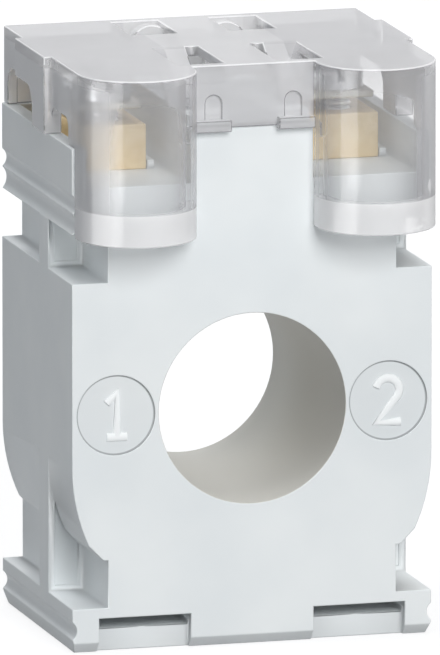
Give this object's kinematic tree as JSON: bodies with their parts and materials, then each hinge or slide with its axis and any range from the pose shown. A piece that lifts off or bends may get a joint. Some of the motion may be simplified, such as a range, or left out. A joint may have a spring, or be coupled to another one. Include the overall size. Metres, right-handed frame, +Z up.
{
  "type": "current transformer",
  "caption": "Window-type current transformer with a round cable window, screw terminals and a clear hooded terminal cover that lifts off.",
  "frame": {"origin": "middle of the foot's resting face, half way through the body's depth", "axes": "+Z up through the body, +Y along the cable window from front to back, +X to the right seen from the front"},
  "size_m": [0.0426, 0.0377, 0.0657],
  "materials": {
    "body_plastic": "pale cool grey moulded plastic, fine matte skin",
    "clear_plastic": "clear, slightly hazy moulded polycarbonate",
    "core_steel": "wound grain-oriented steel strip",
    "box_plastic": "black moulded insulation",
    "copper_wire": "enamelled copper wire",
    "tape_film": "amber insulating film",
    "sleeve_plastic": "off-white insulating sleeve",
    "bar_brass": "milled brass",
    "clamp_steel": "zinc-plated stamped steel",
    "screw_steel": "zinc-plated screw"
  },
  "bodies": {
    "body": {"housing": "body_plastic", "rear_cover": "body_plastic", "core": "core_steel", "core_box_front": "box_plastic", "core_box_rear": "box_plastic", "secondary_winding": "copper_wire", "winding_tape": "tape_film", "lead_left": "copper_wire", "lead_right": "copper_wire", "lead_sleeve_left": "sleeve_plastic", "lead_sleeve_right": "sleeve_plastic", "terminal_bar_left": "bar_brass", "terminal_bar_right": "bar_brass"},
    "clear_cover": {"terminal_cover": "clear_plastic"},
    "clamp_front_left": {"clamp_plate_front_left": "clamp_steel"},
    "screw_front_left": {"clamp_screw_front_left": "screw_steel"},
    "clamp_front_right": {"clamp_plate_front_right": "clamp_steel"},
    "screw_front_right": {"clamp_screw_front_right": "screw_steel"},
    "clamp_rear_left": {"clamp_plate_rear_left": "clamp_steel"},
    "screw_rear_left": {"clamp_screw_rear_left": "screw_steel"},
    "clamp_rear_right": {"clamp_plate_rear_right": "clamp_steel"},
    "screw_rear_right": {"clamp_screw_rear_right": "screw_steel"}
  },
  "joints": [
    {"name": "cover_lift", "type": "slide", "parent": "body", "child": "clear_cover", "axis": [0, 0, 1], "range_m": [0, 0.02]},
    {"name": "clamp_travel_front_left", "type": "slide", "parent": "body", "child": "clamp_front_left", "axis": [0, 0, 1], "range_m": [-0.0014, 0.0014]},
    {"name": "screw_turn_front_left", "type": "hinge", "parent": "clamp_front_left", "child": "screw_front_left", "pos_m": [-0.0134, -0.00055, 0.0599], "axis": [0, 0, 1], "range_deg": [-720, 720]},
    {"name": "clamp_travel_front_right", "type": "slide", "parent": "body", "child": "clamp_front_right", "axis": [0, 0, 1], "range_m": [-0.0014, 0.0014]},
    {"name": "screw_turn_front_right", "type": "hinge", "parent": "clamp_front_right", "child": "screw_front_right", "pos_m": [0.0134, -0.00055, 0.0599], "axis": [0, 0, 1], "range_deg": [-720, 720]},
    {"name": "clamp_travel_rear_left", "type": "slide", "parent": "body", "child": "clamp_rear_left", "axis": [0, 0, 1], "range_m": [-0.0014, 0.0014]},
    {"name": "screw_turn_rear_left", "type": "hinge", "parent": "clamp_rear_left", "child": "screw_rear_left", "pos_m": [-0.0134, 0.00745, 0.0599], "axis": [0, 0, 1], "range_deg": [-720, 720]},
    {"name": "clamp_travel_rear_right", "type": "slide", "parent": "body", "child": "clamp_rear_right", "axis": [0, 0, 1], "range_m": [-0.0014, 0.0014]},
    {"name": "screw_turn_rear_right", "type": "hinge", "parent": "clamp_rear_right", "child": "screw_rear_right", "pos_m": [0.0134, 0.00745, 0.0599], "axis": [0, 0, 1], "range_deg": [-720, 720]}
  ],
  "couplings": [
    {"joint": "screw_turn_front_left", "follows": "clamp_travel_front_left", "rad_per_m": 8975},
    {"joint": "screw_turn_front_right", "follows": "clamp_travel_front_right", "rad_per_m": 8975},
    {"joint": "screw_turn_rear_left", "follows": "clamp_travel_rear_left", "rad_per_m": 8975},
    {"joint": "screw_turn_rear_right", "follows": "clamp_travel_rear_right", "rad_per_m": 8975}
  ]
}
